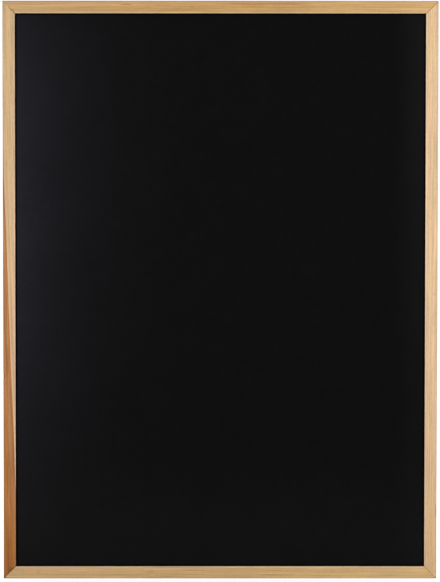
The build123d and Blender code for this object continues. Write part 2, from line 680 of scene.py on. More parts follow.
@dataclass(frozen=True)
class ArrisLightAndShade:
    """Painted shade on the outer arris, painted highlight on the inner front arris, painted shade
    where it meets the coat.
    """

    # Painted shade on the outer arris
    outer_shade_span: Span = (0.2 * MM, 2.0 * MM)
    outer_shade: float = 0.16
    # Painted highlight on the inner front arris, patchy, and weaker over the heartwood
    highlight_span: Span = (0.7 * MM, 2.3 * MM)
    highlight_tone: Colour = (0.40, 0.44, 0.47)
    highlight_gain: float = 0.05
    patches: Pattern = Pattern(45.0)
    patch_light: Span = (0.6, 1.0)
    heart_share: float = 0.3
    heart_fade: Span = (-25 * MM, 5 * MM)
    # Painted shade on the inner arris where the frame meets the coat
    seam_shade_span: Span = (0.05 * MM, 0.35 * MM)
    seam_shade_tone: Colour = (0.66, 0.52, 0.37)
    seam_shade_strength: float = 0.6

    def lay(self, timber: Timber, heartwood: Heartwood | None) -> None:
        """Paint shade on the outer arris, a highlight on the inner one and shade where it meets the
        coat.

        Args:
            timber: Bench of the member.
            heartwood: Its heartwood, which takes less of the painted highlight.
        """
        m = timber.moulding
        inner = m.face - timber.across
        near_front = timber.depth.span(m.setback / 2, m.setback, 1.0, 0.0)
        # Painted shade on the outer arris
        timber.shade(timber.across.span(*self.outer_shade_span, 1 - self.outer_shade, 1.0))
        # Painted highlight on the inner front arris
        patches = timber.noise(self.patches).spread(*self.patch_light)
        painted_highlight = inner.span(*self.highlight_span, 1.0, 0.0) * patches * near_front
        if heartwood:
            crossing = heartwood.start - m.face / heartwood.slope
            low, high = (crossing + fade for fade in self.heart_fade)
            painted_highlight *= timber.along.span(low, high, self.heart_share, 1.0)
        timber.shade(painted_highlight * self.highlight_gain + 1.0)
        timber.lay(painted_highlight, self.highlight_tone, Blend.SCREEN)
        # Painted shade where the inner arris meets the coat
        seam_shade = inner.span(*self.seam_shade_span, self.seam_shade_strength, 0.0)
        timber.lay(seam_shade * near_front, self.seam_shade_tone)


@dataclass(frozen=True)
class JointLine:
    """Dark line at one mitre: its strength, start, tone, and how dark the corner's tip is."""

    strength: float
    start: float = 0.0
    tone: Colour = (0.60, 0.50, 0.36)
    tip: float = 0.0


@dataclass(frozen=True)
class MitreLines:
    """Lines that the mitres at both ends of a member draw in its wood."""

    first: JointLine
    last: JointLine
    smudges: Pattern = Pattern(330.0)
    smudge_span: Span = (0.34, 0.6)
    smudge_light: Span = (0.4, 1.0)
    start_blur: Span = (-2.0 * MM, 2.0 * MM)
    line_span: Span = (0.6 * MM, 2.0 * MM)
    hairline_span: Span = (0.12 * MM, 0.34 * MM)
    hairline_depth: float = 0.55
    tight_share: float = 0.35
    tip_span: Span = (2.5 * MM, 7.0 * MM)

    def lay(self, timber: Timber) -> None:
        """Darken the hairlines where the member meets its neighbours, and the corners' tips.

        Args:
            timber: Bench of the member.
        """
        first, last = self.first, self.last
        from_side = timber.moulding.half_width - abs(timber.x)
        from_level = timber.moulding.half_height - abs(timber.z)
        gap = abs(from_side - from_level)
        reached = (from_side - timber.by_half(first.start, last.start)).span(*self.start_blur)
        smudge = timber.noise(self.smudges).span(*self.smudge_span, *self.smudge_light)
        strength = timber.by_half(first.strength, last.strength)
        line = gap.span(*self.line_span, 1.0, 0.0) * smudge * (strength * reached)
        timber.lay(line, timber.mix(timber.by_half(0.0, 1.0), first.tone, last.tone))
        hairline = gap.span(*self.hairline_span, self.hairline_depth, 0.0)
        hairline *= reached.span(0.0, 1.0, self.tight_share, 1.0)
        timber.lay(hairline, TIP_TONE, Blend.MIX)
        tip = (from_side + from_level).span(*self.tip_span, 1.0, 0.0)
        timber.lay(tip * timber.by_half(first.tip, last.tip), TIP_TONE, Blend.MIX)


@dataclass(frozen=True)
class PineFinish:
    """Bare planed pine of one frame member."""

    tones: Stops
    late_tone: Colour
    rings: GrowthRings
    mitres: MitreLines
    flecks: tuple[Fleck, ...]
    heartwood: Heartwood | None = None
    fibres: Fibres = Fibres()
    edges: ArrisLightAndShade = ArrisLightAndShade()
    tone_drift: Pattern = Pattern(6.0, 1.0)
    drift_share: float = 0.03
    ring_roughness: Span = (0.57, 0.45)
    fibre_roughness: float = 0.05
    specular: float = 0.2
    ring_relief: Relief = Relief(0.05 * MM, 0.5)
    fibre_relief: Relief = Relief(0.06 * MM, 0.6)
    pore_relief: Relief = Relief(0.03 * MM, 0.5)

    def dress(self, name: str, edge: Edge, moulding: Moulding) -> Material:
        """Make the material of one member.

        Args:
            name: Name of the material.
            edge: Edge of the board that the member makes.
            moulding: Section and board size that the pattern is placed by.

        Returns:
            The material.
        """
        timber = Timber(name, edge, moulding)
        drift = timber.noise(self.tone_drift, timber.join(timber.along, self.rings.seed, 0.0))
        share = timber.share + drift.spread(-self.drift_share, self.drift_share)
        timber.colour = share.ramp(self.tones)
        if self.heartwood:
            self.heartwood.lay(timber)
        late = self.rings.lay(timber, self.late_tone)
        fine, pores = self.fibres.lay(timber, self.rings, self.late_tone)
        for fleck in self.flecks:
            fleck.lay(timber)
        self.edges.lay(timber, self.heartwood)
        self.mitres.lay(timber)

        roughness = late.span(0.0, 1.0, *self.ring_roughness)
        roughness += fine.spread(-self.fibre_roughness, self.fibre_roughness)
        timber.set(roughness=roughness, specular_ior_level=self.specular)
        timber.bump(late, self.ring_relief)
        timber.bump(fine, self.fibre_relief)
        timber.bump(pores, self.pore_relief)
        return timber.material


@dataclass(frozen=True)
class ChalkCoat:
    """Matte black writing coat, rolled on, with painted sheen near its left, right and bottom edges
    and a painted shadow along the frame.
    """

    opening: Span
    black: Colour = (0.048, 0.047, 0.048)
    # Painted sheen: a pale bluish tone laid into the coat's colour near its left edge, fading
    # rightwards and varying up the edge
    painted_sheen_tone: Colour = (0.135, 0.1325, 0.155)
    painted_sheen_reach: float = 66 * MM
    painted_sheen_levels: Curve = (
        (0.0, 0.16), (0.09, 0.33), (0.2, 0.44), (0.3, 0.53), (0.38, 0.76), (0.49, 0.82),
        (0.66, 0.98), (0.86, 0.96), (1.0, 0.45),
    )
    clouds: Pattern = Pattern(9.0, 3.0)
    cloud_light: Span = (0.9, 1.1)
    # Painted sheen: a paler tone laid in near the right edge and along the bottom
    painted_edge_sheen: Colour = (0.085, 0.086, 0.086)
    right_painted_sheen: float = 0.85
    right_reach: float = 48 * MM
    climb: Span = (0.2, 0.8)
    climb_light: Span = (0.35, 1.0)
    low_painted_sheen: float = 0.3
    low_span: Span = (30 * MM, 190 * MM)
    # Painted shadow along the frame's inner edge
    edge_shadow_span: Span = (1.0 * MM, 3.0 * MM)
    edge_shadow_level: float = 0.04
    mottle: Pattern = Pattern(140.0, 3.0)
    mottle_light: Span = (0.94, 1.06)
    sheen: Pattern = Pattern(30.0, 3.0)
    roughness: Span = (0.74, 0.84)
    specular: float = 0.02
    orange_peel: Pattern = Pattern(260.0, 1.0)
    peel_relief: Relief = Relief(0.04 * MM, 0.5)
    stipple: Pattern = Pattern(1500.0, 2.0, 0.6)
    stipple_relief: Relief = Relief(0.03 * MM, 0.7)

    def dress(self, name: str) -> Material:
        """Make the material of the coat.

        Args:
            name: Name of the material.

        Returns:
            The material.
        """
        bench = NodeBench(name)
        half_width, half_height = self.opening
        x, _, z = bench.split()
        from_left, from_right = x + half_width, half_width - x
        from_bottom, from_top = z + half_height, half_height - z
        share = from_bottom / (2 * half_height)

        bench.colour = self.black
        cloud = bench.noise(self.clouds).spread(*self.cloud_light)
        # Painted sheen towards the left edge, laid into the colour
        fade = (from_left / -self.painted_sheen_reach).math("EXPONENT")
        bench.lay(fade * share.curve(self.painted_sheen_levels) * cloud, self.painted_sheen_tone, Blend.MIX)
        # Painted sheen near the right edge, rising upwards, and along the bottom
        painted_edge_sheen = from_right.span(0.0, self.right_reach, self.right_painted_sheen, 0.0)
        painted_edge_sheen *= share.span(*self.climb, *self.climb_light)
        painted_edge_sheen += from_bottom.span(*self.low_span, self.low_painted_sheen, 0.0)
        bench.lay(painted_edge_sheen, self.painted_edge_sheen, Blend.MIX)

        # Painted shadow next to the frame, times a random mottle of the coat's tone
        nearest = from_left
        for distance in (from_right, from_bottom, from_top):
            nearest = nearest.math("MINIMUM", distance)
        shadow = nearest.span(*self.edge_shadow_span, self.edge_shadow_level, 1.0)
        bench.shade(shadow * bench.noise(self.mottle).spread(*self.mottle_light))
        roughness = bench.noise(self.sheen).spread(*self.roughness)
        bench.set(roughness=roughness, specular_ior_level=self.specular)
        bench.bump(bench.noise(self.orange_peel), self.peel_relief)
        bench.bump(bench.noise(self.stipple), self.stipple_relief)
        return bench.material


@dataclass(frozen=True)
class RawHardboard:
    """Raw brown hardboard, with the print of the wire screen that it was pressed on."""

    ground: Colour = (0.455, 0.318, 0.21)
    dark: Colour = (0.43, 0.297, 0.195)
    pale: Colour = (0.60, 0.46, 0.33)
    patches: Pattern = Pattern(24.0, 5.0, 0.7)
    patch_span: Span = (0.25, 0.75)
    fibres: Pattern = Pattern(900.0, 3.0, 0.7, 0.35)
    crossed: Pattern = Pattern(760.0, 3.0, 0.7, 0.35)
    fibre_light: Span = (0.42, 0.58)
    pale_fibres: Stain = Stain(0.66, 0.8, 0.45)
    bits: Pattern = Pattern(420.0)
    dark_bits: Stain = Stain(0.66, 0.74, 0.6)
    screen_pitch: float = 1.6 * MM
    screen_span: Span = (-0.6, 0.6)
    screen_light: Span = (0.9, 1.08)
    roughness: Span = (0.72, 0.86)
    specular: float = 0.25
    screen_relief: Relief = Relief(0.12 * MM, 0.8)
    fibre_relief: Relief = Relief(0.08 * MM, 0.6)

    def dress(self, name: str) -> Material:
        """Make the material of the hardboard.

        Args:
            name: Name of the material.

        Returns:
            The material.
        """
        bench = NodeBench(name)
        x, y, z = bench.split()
        patches = bench.noise(self.patches).span(*self.patch_span)
        bench.colour = bench.mix(patches, self.dark, self.ground)
        fibres = bench.noise(self.fibres, bench.join(x * self.fibres.draw, y, z))
        crossed = bench.noise(self.crossed, bench.join(x, y, z * self.crossed.draw))
        bench.shade(fibres.spread(*self.fibre_light) + crossed.spread(*self.fibre_light))
        bench.stain(fibres, self.pale_fibres, self.pale)
        bench.stain(bench.noise(self.bits), self.dark_bits, self.dark)

        rate = 2 * math.pi / self.screen_pitch
        screen = ((x * rate).math("SINE") * (z * rate).math("SINE")).span(*self.screen_span)
        bench.shade(screen.span(0.0, 1.0, *self.screen_light))
        roughness = patches.span(0.0, 1.0, *self.roughness)
        bench.set(roughness=roughness, specular_ior_level=self.specular)
        bench.bump(screen, self.screen_relief)
        bench.bump(fibres, self.fibre_relief)
        return bench.material


@dataclass(frozen=True)
class PlatedSteel:
    """Steel strip or wire, bright, with random clouds and specks of a duller tone."""

    bright: Colour
    dull: Colour
    roughness: float
    clouds: Pattern = Pattern(1100.0, 4.0, 0.6)
    dulled: Stain = Stain(0.3, 0.75, 0.8)
    cloud_roughness: Span = (-0.08, 0.1)
    cloud_relief: Relief = Relief(0.024 * MM, 0.5)
    specks: Pattern = Pattern(2600.0)
    specked: Stain = Stain(0.68, 0.78, 0.5)
    scratches: Pattern = Pattern(6000.0, draw=0.05)
    scratch_roughness: Span = (-0.04, 0.04)
    scratch_relief: Relief = Relief(0.012 * MM, 0.6)

    def dress(self, name: str) -> Material:
        """Make the material of the steel.

        Args:
            name: Name of the material.

        Returns:
            The material.
        """
        bench = NodeBench(name)
        x, y, z = bench.split()
        clouds = bench.noise(self.clouds)
        bench.colour = self.bright
        bench.stain(clouds, self.dulled, self.dull)
        bench.stain(bench.noise(self.specks), self.specked, self.dull)
        drawn = bench.join(x, y, z * self.scratches.draw)
        scratches = bench.noise(self.scratches, drawn)
        roughness = clouds.spread(*(self.roughness + change for change in self.cloud_roughness))
        roughness += scratches.spread(*self.scratch_roughness)
        bench.set(metallic=1.0, roughness=roughness)
        bench.bump(scratches, self.scratch_relief)
        bench.bump(clouds, self.cloud_relief)
        return bench.material


@dataclass(frozen=True)
class MouldedRubber:
    """Soft black rubber with a dusty bloom."""

    black: Colour = (0.13, 0.13, 0.13)
    bloom: Colour = (0.27, 0.265, 0.26)
    dust: Pattern = Pattern(500.0, 4.0, 0.7)
    dusty: Stain = Stain(0.45, 0.75, 0.55)
    roughness: Span = (0.70, 0.86)
    specular: float = 0.35
    grain: Pattern = Pattern(4200.0)
    grain_relief: Relief = Relief(0.02 * MM, 0.7)

    def dress(self, name: str) -> Material:
        """Make the material of the rubber.

        Args:
            name: Name of the material.

        Returns:
            The material.
        """
        bench = NodeBench(name)
        dust = bench.noise(self.dust)
        bench.colour = self.black
        bench.stain(dust, self.dusty, self.bloom)
        bench.set(roughness=dust.spread(*self.roughness), specular_ior_level=self.specular)
        bench.bump(bench.noise(self.grain), self.grain_relief)
        return bench.material


def block(size: Point, centre: Point = (0, 0, 0)) -> Mesh:
    """Make a rectangular block.

    Args:
        size: Its length along each axis.
        centre: Place of its middle.

    Returns:
        The block.
    """
    bm = bmesh.new()
    bmesh.ops.create_cube(bm, size=1.0)
    bmesh.ops.scale(bm, vec=size, verts=bm.verts)
    bmesh.ops.translate(bm, vec=centre, verts=bm.verts)
    return bm


def lathe(outline: Iterable[Span], steps: int, place: Vector) -> Mesh:
    """Turn a closed shape about an axis along Y.

    Args:
        outline: Radius and height of the points of half its section, from axis to axis.
        steps: Facets round the axis.
        place: Where the point of radius and height zero goes.

    Returns:
        The shape.
    """
    bm = bmesh.new()
    verts = [bm.verts.new((radius, height, 0.0)) for radius, height in outline]
    edges = [bm.edges.new(pair) for pair in zip(verts, verts[1:])]
    bmesh.ops.spin(
        bm, geom=[*verts, *edges], cent=(0, 0, 0), axis=(0, 1, 0), angle=2 * math.pi,
        steps=steps, use_merge=True,
    )
    bmesh.ops.remove_doubles(bm, verts=bm.verts, dist=WELD)
    bmesh.ops.translate(bm, vec=place, verts=bm.verts)
    bmesh.ops.recalc_face_normals(bm, faces=bm.faces)
    return bm


def long_edges(bm: Mesh, axis: int, length: float) -> list[MeshEdge]:
    """List the edges that reach further than a length along one axis."""
    return [e for e in bm.edges if abs(e.verts[0].co[axis] - e.verts[1].co[axis]) > length]


def sharp_edges(bm: Mesh, angle: float) -> list[MeshEdge]:
    """List the edges at which two faces turn by more than an angle."""
    return [e for e in bm.edges if e.calc_face_angle(0.0) > angle]


def ease(bm: Mesh, edges: Iterable[MeshEdge], width: float, segments: int) -> None:
    """Round edges over.

    Args:
        bm: Mesh that they belong to.
        edges: The edges.
        width: Distance from each edge to where the rounding ends.
        segments: Facets across it.
    """
    bmesh.ops.bevel(
        bm, geom=edges, offset=width, offset_type="OFFSET", affect="EDGES",
        segments=segments, profile=0.5, material=-1, clamp_overlap=True,
    )


def cut(bm: Mesh, place: Vector, normal: Vector, clear: bool = False) -> list[MeshEdge]:
    """Cut every face along a plane.

    Args:
        bm: Mesh that is cut.
        place: Point of the plane.
        normal: Direction that is square to it.
        clear: Whether what lies beyond it is taken away.

    Returns:
        The edges on the plane.
    """
    on_plane = bmesh.ops.bisect_plane(
        bm, geom=[*bm.verts, *bm.edges, *bm.faces], dist=WELD,
        plane_co=place, plane_no=normal, clear_outer=clear,
    )["geom_cut"]
    return [e for e in on_plane if isinstance(e, MeshEdge)]


def node_copy(node: str) -> Mesh:
    """Copy a CAD node's mesh, with its loose triangles merged.

    Args:
        node: Name of the node.

    Returns:
        The copy.
    """
    bm = bmesh.new()
    bm.from_mesh(NODES[node].data)
    bmesh.ops.remove_doubles(bm, verts=bm.verts, dist=WELD)
    return bm


def mesh_piece(name: str, bm: Mesh, smooth_angle: float) -> Piece:
    """Turn a bmesh into an object at the origin, smooth but for its sharp edges.

    Args:
        name: Name of the piece.
        bm: Mesh in the row frame, which is freed.
        smooth_angle: Edges that turn by more than this angle stay sharp.

    Returns:
        The object.
    """
    mesh = bpy.data.meshes.new(name)
    bm.to_mesh(mesh)
    bm.free()
    piece = bpy.data.objects.new(name, mesh)
    bpy.context.scene.collection.objects.link(piece)
    smooth(piece, smooth_angle)
    return piece


def smooth(piece: Piece, angle: float) -> None:
    """Shade a piece smooth but for the edges that turn by more than an angle."""
    piece.data.shade_smooth()
    piece.data.set_sharp_from_angle(angle=angle)


def carve(piece: Piece, cutter: Piece) -> None:
    """Cut one object's shape out of another, and delete the cutter.

    Args:
        piece: Object that is cut, whose mesh is replaced.
        cutter: Object that cuts.
    """
    boolean = piece.modifiers.new("carve", "BOOLEAN")
    boolean.operation = "DIFFERENCE"
    boolean.solver = "EXACT"
    boolean.object = cutter
    graph = bpy.context.evaluated_depsgraph_get()
    carved = bpy.data.meshes.new_from_object(piece.evaluated_get(graph))
    piece.modifiers.remove(boolean)
    old, piece.data = piece.data, carved
    carved.name = piece.name
    bpy.data.meshes.remove(old)
    bpy.data.objects.remove(cutter)


def dress_piece(piece: Piece, material: Material) -> None:
    """Give a piece one material in all its slots.

    Args:
        piece: New piece or CAD node's own object.
        material: Its material.
    """
    if not piece.data.materials:
        piece.data.materials.append(material)
    for index in range(len(piece.data.materials)):
        piece.data.materials[index] = material
    log.info("%s: %d faces, dressed", piece.name, len(piece.data.polygons))


def hand_over(piece: Piece, material: Material, node: str | None = None) -> None:
    """Dress a new piece, put it on the board and let it stand for its CAD node.

    Args:
        piece: The new piece.
        material: Its material.
        node: CAD node that it stands for, if there is one.
    """
    dress_piece(piece, material)
    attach(piece, "board")
    if node:
        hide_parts(node)


@dataclass(frozen=True)
class Dent:
    """Knock in a frame member: a smooth hollow about one place on its surface."""

    along: float
    behind: float
    across: float
    reach: float
    depth: float

    def sink(self, co: Vector) -> float:
        """Depth of the hollow at a point of the straight bar."""
        away = (co - Vector((self.along, self.behind, self.across))).length / self.reach
        return self.depth * (1 - away * away) ** 2 if away < 1 else 0.0


@dataclass(frozen=True)
class Member:
    """One rail or stile: its edge of the board, its finish and how it has worn."""

    edge: Edge
    slot: str
    seed: float
    dents: tuple[Dent, ...]
    finish: PineFinish


@dataclass(frozen=True)
class MitredFrame:
    """The four mouldings, each planed, grooved, mitred and nailed as a piece of its own."""

    moulding: Moulding
    slice_pitch: float = 5 * MM
    dent_slices: int = 7
    arris_segments: int = 5
    groove_margin: float = 0.1 * MM
    ripple: float = 0.03 * MM
    ripple_rates: Span = (60.0, 40.0)
    arris_wear: float = 0.14 * MM
    wear_rates: Span = (140.0, 90.0)
    joint_relief: float = 0.14 * MM
    cutter_overrun: float = 1.5 * MM
    smooth_angle: float = math.radians(28)

    def build(self, members: Iterable[Member]) -> None:
        """Build and dress every member.

        Args:
            members: The rails and stiles.
        """
        for member in members:
            bm = self.section_bar(member)
            self.wear(bm, member)
            self.mitre(bm, self.moulding.half_length(member.edge))
            bmesh.ops.transform(bm, matrix=self.moulding.place(member.edge), verts=bm.verts)
            bmesh.ops.recalc_face_normals(bm, faces=bm.faces)
            node = member.edge.value
            piece = mesh_piece(f"{node}_wood", bm, self.smooth_angle)
            for fastener in member.edge.fasteners:
                carve(piece, self.cutter(fastener))
            smooth(piece, self.smooth_angle)
            hand_over(piece, member.finish.dress(node, member.edge, self.moulding), node)

    def section_bar(self, member: Member) -> Mesh:
        """Plane a straight bar along X with its groove and its eased arrises.

        Args:
            member: The rail or stile.

        Returns:
            The bar, its outer face on Z zero and its front face on Y zero.
        """
        m = self.moulding
        length = 2 * m.half_length(member.edge)
        bm = block((length, m.depth, m.face), (0, m.depth / 2, m.face / 2))
        ease(bm, long_edges(bm, 0, m.face), m.arris, self.arris_segments)
        for level in (m.setback, m.setback + m.groove_width):
            cut(bm, Vector((0, level, 0)), Vector((0, 1, 0)))
        middle = m.setback + m.groove_width / 2
        inward = (f for f in bm.faces if f.normal.z > abs(f.normal.x))
        floor = [f for f in inward if abs(f.calc_center_median().y - middle) < m.groove_width / 2]
        sunk = bmesh.ops.extrude_face_region(bm, geom=floor)["geom"]
        bmesh.ops.delete(bm, geom=floor, context="FACES")
        sunk_verts = [v for v in sunk if isinstance(v, bmesh.types.BMVert)]
        bmesh.ops.translate(bm, vec=(0, 0, -m.groove_depth), verts=sunk_verts)

        slices = int(length / self.slice_pitch)
        places = {length * (index / slices - 0.5) for index in range(1, slices)}
        for dent in member.dents:
            steps = range(-self.dent_slices, self.dent_slices + 1)
            places |= {dent.along + dent.reach * step / self.dent_slices for step in steps}
        for place in sorted(places):
            cut(bm, Vector((place, 0, 0)), Vector((1, 0, 0)))
        return bm

    def wear(self, bm: Mesh, member: Member) -> None:
        """Ripple the planed faces a little, wear the arrises, and knock the dents in.

        Args:
            bm: The straight bar.
            member: The rail or stile.
        """
        m = self.moulding
        for vert in bm.verts:
            co = vert.co.copy()
            if m.face - co.z <= 2 * m.arris and self.in_groove(co.y):
                continue
            inward = self.ripple * (1 + self.uneven(co, self.ripple_rates, member.seed)) / 2
            if self.on_arris(co):
                worn = self.uneven(co, self.wear_rates, -member.seed)
                inward += self.arris_wear * max(0, worn)
            inward += sum(dent.sink(co) for dent in member.dents)
            vert.co += inward * Vector((0, m.depth / 2 - co.y, m.face / 2 - co.z)).normalized()

    def uneven(self, co: Vector, rates: Span, shift: float) -> float:
        """Read a smooth random value, with one rate along the bar and one across it."""
        along, across = rates
        return noise.noise(Vector((co.x * along, co.y * across + shift, co.z * across + shift)))

    def in_groove(self, behind: float) -> bool:
        """Tell whether a depth lies between the walls of the groove."""
        past_front = behind - self.moulding.setback
        return -self.groove_margin < past_front < self.moulding.groove_width + self.groove_margin

    def on_arris(self, co: Vector) -> bool:
        """Tell whether a point of the straight bar lies on one of its four eased arrises."""
        m = self.moulding
        return max(min(co.y, m.depth - co.y), min(co.z, m.face - co.z)) < m.arris - TOUCH

    def mitre(self, bm: Mesh, half_length: float) -> None:
        """Cut both ends at 45 degrees and ease the cut's edges, which leaves the joint's line.

        Args:
            bm: The worn bar.
            half_length: Half the length of its outer face.
        """
        for end in (-1, 1):
            place = Vector((end * half_length, 0, 0))
            rim = cut(bm, place, Vector((end, 0, 1)).normalized(), clear=True)
            cap = bmesh.ops.holes_fill(bm, edges=rim, sides=0)["faces"]
            ease(bm, [e for f in cap for e in f.edges if self.shows(e)], self.joint_relief, 1)

    def shows(self, edge: MeshEdge) -> bool:
        """Tell whether an edge of a mitre lies outside the groove, where it can be seen."""
        return not all(self.in_groove(vert.co.y) for vert in edge.verts)

    def cutter(self, node: str) -> Piece:
        """Make the shape that a nail or screw takes out of the wood.

        Args:
            node: CAD node of the fastener.

        Returns:
            The cutting object, which reaches out past the back face.
        """
        bm = node_copy(node)
        back = max(vert.co.y for vert in bm.verts)
        for vert in bm.verts:
            if back - vert.co.y < TOUCH:
                vert.co.y += self.cutter_overrun
        return mesh_piece(f"{node}_cutter", bm, self.smooth_angle)


@dataclass(frozen=True)
class Splinter:
    """Torn sliver that stands in the knock on the left stile's outer edge."""

    moulding: Moulding
    length: float = 9.0 * MM
    width: float = 1.5 * MM
    thickness: float = 0.55 * MM
    lean: float = 0.75 * MM
    cuts: int = 7
    slimming: float = 0.86
    slimming_power: float = 1.5
    fray: float = 0.12 * MM
    edge_margin: float = 0.02 * MM
    inset_share: float = 0.85
    eased: float = 0.05 * MM
    sharp_angle: float = math.radians(40)

    def build(self, finish: PineFinish) -> None:
        """Split the sliver off the stile's edge and dress it in the stile's wood.

        Args:
            finish: Finish of the stile.
        """
        m = self.moulding
        bm = block((self.thickness, self.width, self.length))
        lengthwise = long_edges(bm, 2, m.arris)
        bmesh.ops.subdivide_edges(bm, edges=lengthwise, cuts=self.cuts, use_grid_fill=True)
        for vert in bm.verts:
            rise = 0.5 + vert.co.z / self.length
            slim = 1 - self.slimming * rise ** self.slimming_power
            fray = noise.noise(vert.co / MM) * self.fray
            vert.co.x = vert.co.x * slim - self.lean * rise ** 2
            vert.co.y = vert.co.y * slim + fray
        outer = min(vert.co.x for vert in bm.verts)
        x = self.edge_margin - m.half_width - outer
        place = Vector((x, m.front + self.width * self.inset_share, -SPLINTER_DROP))
        bmesh.ops.translate(bm, vec=place, verts=bm.verts)
        ease(bm, sharp_edges(bm, self.sharp_angle), self.eased, 2)
        bmesh.ops.recalc_face_normals(bm, faces=bm.faces)
        piece = mesh_piece("left_stile_splinter", bm, self.sharp_angle)
        hand_over(piece, finish.dress("splinter_pine", Edge.LEFT, m))


@dataclass(frozen=True)
class WritingPanel:
    """The coated hardboard in the frame's groove."""

    coat: ChalkCoat
    board: RawHardboard

    def build(self) -> None:
        """Dress both layers, whose CAD shapes are right as they are."""
        dress_piece(NODES["writing_face"], self.coat.dress("writing_face"))
        dress_piece(NODES["panel_core"], self.board.dress("panel_core"))


@dataclass(frozen=True)
class CornerNails:
    """V-nails in the back of the four mitres."""

    steel: PlatedSteel

    def build(self) -> None:
        """Dress the four groups of nails, whose CAD shapes are right as they are."""
        material = self.steel.dress("nail_steel")
        for node in (n for n in NODES if n.startswith("v_nails_")):
            dress_piece(NODES[node], material)


@dataclass(frozen=True)
class PanScrew:
    """Pan-head wood screw that holds a hanger, with its thread and tapered cross recess."""

    side: Side
    steel: Material
    length: float = 12.0 * MM
    shank_radius: float = 1.5 * MM
    root_radius: float = 1.05 * MM
    point_share: float = 0.25
    point_length: float = 0.5 * MM
    taper_length: float = 3.2 * MM
    plain_shank: float = 2.6 * MM
    neck: float = 0.5 * MM
    shank_share: float = 0.98
    collar_share: float = 1.12
    collar_length: float = 0.25 * MM
    rim_chamfer: float = 0.15 * MM
    dome: Curve = ((1.0, 0.45 * MM), (0.96, 0.75 * MM), (0.84, 1.2 * MM), (0.62, 1.62 * MM))
    crown_flat: Span = (0.34, 0.955)
    thread_pitch: float = 1.35 * MM
    thread_steps: int = 20
    flank_share: float = 0.3
    sunk_share: float = 0.9
    buried_share: float = 0.6
    run_in: float = 0.5
    run_out: float = 2.2
    recess_size: Point = (3.2 * MM, 1.15 * MM, 0.66 * MM)
    recess_overrun: float = 0.6 * MM
    recess_taper: Point = (0.45, 1.0, 0.8)
    spin_steps: int = 48
    sharp_angle: float = math.radians(35)

    def build(self) -> None:
        """Turn the screw, press its cross recess and wind its thread."""
        node = f"{self.side.value}_hanger_screw"
        low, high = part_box(node)
        centre = (low + high) / 2
        seat = Vector((centre.x, low.y + self.length, centre.z))
        crown = high.y - seat.y
        bm = lathe(self.outline((high.x - low.x) / 2, crown), self.spin_steps, seat)
        piece = mesh_piece(f"{self.side.value}_hanger_pan_screw", bm, self.sharp_angle)
        for turn in (0.0, math.pi / 2):
            carve(piece, self.recess_wing(seat + Vector((0, crown, 0)), turn))
        self.add_thread(piece, seat)
        smooth(piece, self.sharp_angle)
        hand_over(piece, self.steel, node)

    def outline(self, head: float, crown: float) -> list[Span]:
        """Draw half the screw's section, from its point up to its crown.

        Args:
            head: Radius of the head.
            crown: Height of the head.

        Returns:
            Radius and height of each point.
        """
        root, shank = self.root_radius, self.shank_radius * self.shank_share
        return [
            (0.0, -self.length), (root * self.point_share, self.point_length - self.length),
            (root, self.taper_length - self.length), (root, -self.plain_shank - self.neck),
            (shank, -self.plain_shank), (shank, -self.collar_length),
            (self.shank_radius * self.collar_share, 0.0),
            (head - self.rim_chamfer, 0.0), (head, self.rim_chamfer),
            *((head * share, height) for share, height in self.dome),
            (head * self.crown_flat[0], crown * self.crown_flat[1]), (0.0, crown),
        ]

    def add_thread(self, piece: Piece, seat: Vector) -> None:
        """Wind the screw's thread round its shank, running out at both ends.

        Args:
            piece: The screw without its thread.
            seat: Where its head meets the strap.
        """
        turns = int((self.length - self.plain_shank) / self.thread_pitch) - 1
        sunk = self.root_radius * self.sunk_share
        buried = sunk * self.buried_share
        half = self.thread_pitch * self.flank_share
        start = -self.plain_shank - half
        bm = bmesh.new()
        flanks = ((sunk, start + half, 0), (self.shank_radius, start, 0), (sunk, start - half, 0))
        verts = [bm.verts.new(co) for co in flanks]
        face = bm.faces.new(verts)
        bmesh.ops.spin(
            bm, geom=[*verts, *face.edges, face], cent=(0, 0, 0), axis=(0, 1, 0),
            dvec=(0, -self.thread_pitch / self.thread_steps, 0), angle=turns * 2 * math.pi,
            steps=turns * self.thread_steps, use_merge=False,
        )
        for vert in bm.verts:
            wound = (start - vert.co.y) / self.thread_pitch
            share = min(1.0, max(0.0, wound) / self.run_in, max(0.0, turns - wound) / self.run_out)
            radius = math.hypot(vert.co.x, vert.co.z)
            drawn_in = (buried + (radius - buried) * share) / radius
            vert.co.x *= drawn_in
            vert.co.z *= drawn_in
        bmesh.ops.translate(bm, vec=seat, verts=bm.verts)
        bmesh.ops.recalc_face_normals(bm, faces=bm.faces)
        bm.from_mesh(piece.data)
        bm.to_mesh(piece.data)
        bm.free()

    def recess_wing(self, crown: Vector, turn: float) -> Piece:
        """Shape one tapered wing of the cross recess.

        Args:
            crown: Top of the screw's head.
            turn: Turn about the screw's axis.

        Returns:
            The cutting object.
        """
        reach, depth, width = self.recess_size
        over = self.recess_overrun
        bm = block((reach, depth + over, width), (0, (over - depth) / 2, 0))
        deep = [vert for vert in bm.verts if vert.co.y < 0]
        bmesh.ops.scale(bm, vec=self.recess_taper, verts=deep)
        matrix = Matrix.Translation(crown) @ Matrix.Rotation(turn, 4, "Y")
        bmesh.ops.transform(bm, matrix=matrix, verts=bm.verts)
        return mesh_piece("recess_cutter", bm, self.sharp_angle)


